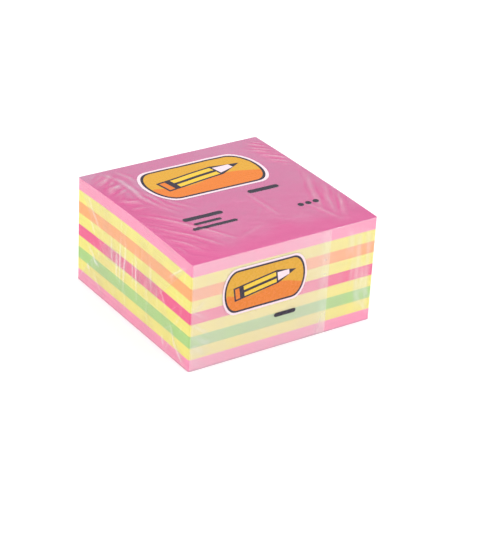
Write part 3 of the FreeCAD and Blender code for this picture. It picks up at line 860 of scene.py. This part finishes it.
class FoldEnds(bpy.types.Operator):
    """Folds the film over both ends: lower flap, upper flap lapped over it, and turned corners"""
    bl_idname = "cube.fold_ends"
    bl_label = "Fold the ends"

    def execute(self, context):
        film = settings("cube_film")
        reach, rake, layer = film.flap_reach / MM, film.flap_rake, film.layer_gap / MM
        relief = Relief()
        material = film_material("film_fold", 0.35)
        half = HALF_DEPTH + film.gap / MM - 0.25
        across, down = np.meshgrid(np.linspace(-1, 1, FLAP_GRID[0]), np.linspace(0, 1, FLAP_GRID[1]))
        depth = across * (half - rake * reach * down) + FLAP_SHIFT * down
        curl = Waves(np.random.default_rng(film.seed + FLAP_DRAWS), 9.0)
        free_edge = ramp(down, 0.93, 0.07) ** 2
        side_edge = ramp(np.abs(across), 0.975, 0.025) ** 2 * (down > 0.04)
        taut = 1 - 0.85 * hump(depth, 0.5, 6.0)
        for face, side in (("left", -1.0), ("right", 1.0)):
            top = film_top(side * HALF_WIDTH, depth) - 0.3
            for label, up, layers in (("lower", 0.3 + reach * down, 1), ("upper", top - reach * down, 2)):
                place = [np.full(depth.size, side * 40.0 + layers), depth.ravel(), up.ravel()]
                loose = curl.share(np.stack(place, axis=1)).reshape(depth.shape)
                # Along its free and side edges the flap is cloudier and paler in places: a painted glint on
                # the film's cut edges. It also lifts a little there.
                rims = (free_edge + side_edge).clip(0, 1) * loose
                lift = layers * layer * np.clip(down * 12, 0.15, 1) + 0.05 * rims
                haze = (0.05 + 0.06 * loose) * taut + 0.16 * rims
                sheet_of_film("%s_%s_flap" % (face, label), face, depth, up, lift, relief, haze, rims,
                              material)
        return {"FINISHED"}


class LapFilm(bpy.types.Operator):
    """Laps the film's long edges on the back, and a second layer over most of the front"""
    bl_idname = "cube.lap_film"
    bl_label = "Lap the film"

    def execute(self, context):
        film = settings("cube_film")
        relief, layer = Relief(), film.layer_gap / MM
        low, width = film.lap_lift / MM, film.lap_width / MM
        across, up = np.meshgrid(np.linspace(-HALF_WIDTH + 0.3, HALF_WIDTH - 0.3, LAP_GRID[0]),
                                 np.linspace(low, low + width, LAP_GRID[1]))
        edge = ramp(np.abs((up - low) / width - 0.5), 0.42, 0.08) ** 2
        curl = Waves(np.random.default_rng(film.seed + LAP_DRAWS), 8.0)
        place = np.stack([across.ravel(), np.zeros(across.size), up.ravel()], axis=1)
        loose = edge * curl.share(place).reshape(across.shape)
        sheet_of_film("long_lap", "back", across[:, ::-1], up, layer + 0.10 * loose, relief,
                      0.10 + 0.10 * edge, loose, film_material("film_lap", 0.5))
        free = film.front_lap / MM
        across, share = np.meshgrid(np.linspace(-HALF_WIDTH + 0.1, free, FRONT_GRID[0]),
                                    np.linspace(0, 1, FRONT_GRID[1]))
        up = 0.4 + share * (film_top(across, -HALF_DEPTH) - 0.7)
        # It stands clear of the skin's ridges, and closer to the skin along its lower edge.
        lift = (layer + 0.03) * np.clip(share * 20, 0.3, 1) + 0.05 * ramp(across, free - 0.9, 0.9) ** 2
        band = rising(across, free - BAND_WIDTH, BAND_SOFTNESS)
        haze = 0.20 + 0.045 * band + 0.03 * (hump(up, PILE_HEIGHT, 3.5) + hump(up, 0, 2.5))
        sheet_of_film("front_lap", "front", across, up, lift, relief, haze, band,
                      film_material("film_front", 0.12))
        return {"FINISHED"}


def turned(outline, turn):
    cos, sin = math.cos(math.radians(turn)), math.sin(math.radians(turn))
    return outline @ np.array([[cos, sin], [-sin, cos]])


def stadium(middle, width, height, bulge=1.0):
    """Outline of a bar with round ends: a bulge below 1 makes the ends flatter."""
    radius = height / 2
    reach = width / 2 - radius * bulge
    angles = np.linspace(-math.pi / 2, math.pi / 2, 20)
    right = np.stack([reach + radius * bulge * np.cos(angles), radius * np.sin(angles)], axis=1)
    return np.concatenate([right, -right]) + np.array(middle)


def bar(left, right, low, high):
    """Outline of a rectangle."""
    return np.array([(left, low), (right, low), (right, high), (left, high)])


def inside_outline(outline, places):
    """Which places lie inside an outline."""
    inside = np.zeros(len(places), bool)
    across, up = places.T
    for (x1, y1), (x2, y2) in zip(outline, np.roll(outline, -1, axis=0)):
        if y1 == y2:
            continue
        crosses = (y1 > up) != (y2 > up)
        inside ^= crosses & (across < (x2 - x1) * (up - y1) / (y2 - y1) + x1)
    return inside


def spread_edge(outline, step):
    """The outline with no side longer than one step."""
    places = []
    for start, end in zip(outline, np.roll(outline, -1, axis=0)):
        count = max(1, int(math.ceil(np.linalg.norm(end - start) / step)))
        places.extend(start + (end - start) * share for share in np.arange(count) / count)
    return np.array(places)


def inked(shapes, step):
    """One sheet of triangles for all shapes, each with the ink of the topmost shape that covers it."""
    edges, corners, links = [], [], []
    for _, outline in shapes:
        edge = spread_edge(outline, step)
        first = len(corners)
        corners.extend(edge)
        links.extend((first + place, first + (place + 1) % len(edge)) for place in range(len(edge)))
        edges.append(edge)
    rims = np.array(corners)
    low, high = rims.min(axis=0), rims.max(axis=0)
    across, up = np.meshgrid(np.arange(low[0], high[0], step), np.arange(low[1], high[1], step))
    places = np.stack([across.ravel(), up.ravel()], axis=1)
    covered = np.zeros(len(places), bool)
    for edge in edges:
        covered |= inside_outline(edge, places)
    places = places[covered]
    tree = KDTree(len(rims))
    for number, rim in enumerate(rims):
        tree.insert((*rim, 0.0), number)
    tree.balance()
    places = [place for place in places if tree.find((*place, 0.0))[2] > 0.4 * step]
    made = delaunay_2d_cdt([Vector(place) for place in [*corners, *places]], links, [], 0, 1e-5)
    spots = np.array([list(corner) for corner in made[0]])
    triangles = np.array(made[2])
    middles = spots[triangles].mean(axis=1)
    ink_of = np.full(len(triangles), -1)
    for number, edge in enumerate(edges):
        ink_of[inside_outline(edge, middles)] = number
    kept = ink_of >= 0
    return spots, triangles[kept], [shapes[number][0] for number in ink_of[kept]]


def badge_shapes(width, height):
    """Inks and outlines of the plain badge, back to front, round its middle."""
    keyline, border, field = [stadium((0, 0), width - rim * width, height - rim * width, 0.62)
                              for rim in (0, 0.045, 0.085)]
    across = np.linspace(field[:, 0].min(), field[:, 0].max(), 60)
    wave = -0.10 * height + 0.07 * height * np.sin(across / width * 9.0)
    ground = clipped_below(field, across, wave)
    # The pencil, from its rubber's end to its point.
    length, half, rim = 0.74 * width, 0.15 * height, 0.018 * width
    end = -length / 2
    ferrule, shoulder, lead = end + 0.16 * length, end + 0.70 * length, end + (0.70 + 0.30 * 0.62) * length
    pencil = np.array([(end, -half), (shoulder, -half), (end + length, 0), (shoulder, half), (end, half)])
    paint = bar(ferrule, shoulder - rim, rim - half, half - rim)
    wood = np.array([(shoulder, 1.6 * rim - half), (lead, -0.34 * half), (lead, 0.34 * half),
                     (shoulder, half - 1.6 * rim)])
    rubber = bar(end + rim, end + 0.09 * length, rim - half, half - rim)
    stripe = bar(ferrule, shoulder - rim, -0.22 * half, 0.16 * half)
    drawn = [("charcoal", pencil), ("yellow", paint), ("keyline", wood), ("orange", rubber),
             ("charcoal", stripe)]
    lift = np.array([0, 0.05 * height])
    return [("keyline", keyline), ("charcoal", border), ("amber", field), ("orange", ground),
            *((ink, turned(shape, 9) + lift) for ink, shape in drawn)]


def clipped_below(field, across, wave):
    """The part of a round-ended field that lies below a wavy line."""
    below = field[field[:, 1] < np.interp(field[:, 0], across, wave)]
    rim = below[np.argsort(below[:, 0])]
    line = [(x, y) for x, y in zip(across, wave) if rim[0][0] < x < rim[-1][0]]
    return np.concatenate([rim, np.array(line[::-1])])


def printed_shapes(face):
    """Ink and outline of each printed shape on a face, in mm along the face's own two directions."""
    middle, size, bars = PRINTS[face]
    badge = [(ink, outline + np.array(middle)) for ink, outline in badge_shapes(*size)]
    return badge + [("charcoal", stadium(*each)) for each in bars]


class PrintWrap(bpy.types.Operator):
    """Prints a plain badge and bars on the top and the front of the wrap"""
    bl_idname = "cube.print_wrap"
    bl_label = "Print the wrap"

    def execute(self, context):
        inks = settings("cube_print")
        names = ["amber", "orange", "yellow", "charcoal", "keyline"]
        materials = [ink_material("%s_ink" % ink, getattr(inks, ink)) for ink in names]
        corners, faces = [], []
        for name in ("film_skin", "front_lap"):
            layer = bpy.data.objects[name].data
            faces += [[len(corners) + corner for corner in face.vertices] for face in layer.polygons]
            corners += [corner.co for corner in layer.vertices]
        surface = BVHTree.FromPolygons(corners, faces)
        beside = np.array([(0, 0), (INK_PROBE, 0), (-INK_PROBE, 0), (0, INK_PROBE), (0, -INK_PROBE)])
        for face in PRINTS:
            spots, triangles, inked_with = inked(printed_shapes(face), INK_MESH)
            outward = Vector(OUTWARD[face])
            laid = []
            for spot in spots:
                starts = face_point(face, *(spot + beside).T, 3.0) * MM
                hits = [surface.ray_cast(Vector(start), -outward)[0] for start in starts]
                proud = max(hit.dot(outward) for hit in hits) - hits[0].dot(outward)
                laid.append((hits[0] + outward * (proud + INK_LIFT * MM)) / MM)
            laid = inside_limits(np.array(laid))
            spans = np.cross(laid[triangles[:, 1]] - laid[triangles[:, 0]],
                             laid[triangles[:, 2]] - laid[triangles[:, 0]])
            inward = spans @ np.array(outward) < 0
            triangles[inward] = triangles[inward][:, ::-1]
            piece = make_mesh("%s_print" % face, laid, triangles, materials[0])
            for material in materials[1:]:
                piece.data.materials.append(material)
            piece.data.polygons.foreach_set("material_index", [names.index(ink) for ink in inked_with])
            lay_film(piece)
        return {"FINISHED"}


class SetStage(bpy.types.Operator):
    """Lays the pale floor, hangs the soft lights and sets up the camera"""
    bl_idname = "cube.set_stage"
    bl_label = "Set the stage"

    def execute(self, context):
        stage = settings("cube_stage")
        scene = context.scene
        scene.view_settings.view_transform = "Standard"
        half = stage.floor_size / MM / 2
        corners = [(-half, -half, 0), (half, -half, 0), (half, half, 0), (-half, half, 0)]
        material, tree = new_material("pale_floor")
        shade = tree.scaled(tree.noise(tree.coordinates(), 8.0), 0.02, 0.93)
        colour = tree.add("ShaderNodeCombineColor", {0: shade, 1: shade, 2: shade}).outputs[0]
        tree.surface(tree.add("ShaderNodeBsdfPrincipled", {
            "Base Color": colour, "Roughness": 0.8, "Specular IOR Level": 0.1,
            "Emission Color": (1, 1, 1, 1), "Emission Strength": stage.floor_glow}))
        floor = make_mesh("floor", corners, [(0, 1, 2, 3)], material, smooth=False)
        scene.world = white_surround(stage)
        soft_light("key", KEY_PLACE, LIGHT_SIDE, stage.key_power)
        soft_light("fill", FILL_PLACE, LIGHT_SIDE, stage.fill_power)
        add_camera(stage)
        return {"FINISHED"}


def white_surround(stage):
    """A white surround that is brighter overhead than near the horizon."""
    world = bpy.data.worlds.new("white_surround")
    world.use_nodes = True
    world.node_tree.nodes.clear()
    tree = Tree(world.node_tree)
    up = tree.parts(tree.coordinates("Generated"))[2]
    share = tree.add("ShaderNodeMapRange", {"Value": up, "From Min": 0.40, "From Max": 0.66},
                     interpolation_type="SMOOTHSTEP").outputs[0]
    strength = tree.scaled(share, stage.overhead_light - stage.world_light, stage.world_light)
    tree.surface(tree.add("ShaderNodeBackground", {"Color": (1, 1, 1, 1), "Strength": strength}), "World")
    return world


def soft_light(name, place, side, power):
    """A square area light that looks at the pad."""
    light = bpy.data.lights.new(name, "AREA")
    light.shape = "SQUARE"
    light.size = side
    light.energy = power
    lamp = bpy.data.objects.new(name, light)
    lamp.location = place
    aim = Vector(LIGHT_AIM) - lamp.location
    lamp.rotation_euler = aim.to_track_quat("-Z", "Y").to_euler()
    bpy.context.scene.collection.objects.link(lamp)


def add_camera(stage):
    """The camera at the photograph's viewing angle, with its slight roll."""
    turn, rise, roll = stage.azimuth, stage.elevation, stage.roll
    back = Vector((math.sin(turn) * math.cos(rise), -math.cos(turn) * math.cos(rise), math.sin(rise)))
    right = Vector((math.cos(turn), math.sin(turn), 0))
    up = back.cross(right)
    rolled_right = right * math.cos(roll) + up * math.sin(roll)
    rolled_up = up * math.cos(roll) - right * math.sin(roll)
    data = bpy.data.cameras.new("camera")
    data.sensor_fit = "VERTICAL"
    data.sensor_height = 36.0
    data.lens = stage.lens
    camera = bpy.data.objects.new("camera", data)
    axes = Matrix((rolled_right, rolled_up, back)).transposed().to_4x4()
    axes.translation = Vector(stage.target) + back * stage.distance
    camera.matrix_world = axes
    bpy.context.scene.collection.objects.link(camera)
    bpy.context.scene.camera = camera


class NoteCubePanel(bpy.types.Panel):
    """Lists the steps that dress the note cube"""
    bl_idname = "VIEW3D_PT_note_cube"
    bl_label = "Note cube"
    bl_space_type = "VIEW_3D"
    bl_region_type = "UI"
    bl_category = "Note Cube"

    def draw(self, context):
        for operator in OPERATORS:
            self.layout.operator(operator.bl_idname)
        for group in SETTINGS:
            for name in SETTINGS[group].__annotations__:
                self.layout.prop(getattr(context.scene, group), name)


OPERATORS = [SetStage, DressNotes, WrapSkin, FoldEnds, LapFilm, PrintWrap]
SETTINGS = {"cube_paper": PaperSettings, "cube_film": FilmSettings, "cube_print": PrintSettings,
            "cube_stage": StageSettings}


def register():
    for group, kind in SETTINGS.items():
        bpy.utils.register_class(kind)
        setattr(bpy.types.Scene, group, PointerProperty(type=kind))
    for kind in [*OPERATORS, NoteCubePanel]:
        bpy.utils.register_class(kind)


def unregister():
    for kind in [NoteCubePanel, *reversed(OPERATORS)]:
        bpy.utils.unregister_class(kind)
    for group, kind in reversed(list(SETTINGS.items())):
        delattr(bpy.types.Scene, group)
        bpy.utils.unregister_class(kind)


def main():
    register()
    for operator in OPERATORS:
        family, name = operator.bl_idname.split(".")
        getattr(getattr(bpy.ops, family), name)()


if __name__ == "__main__":
    main()
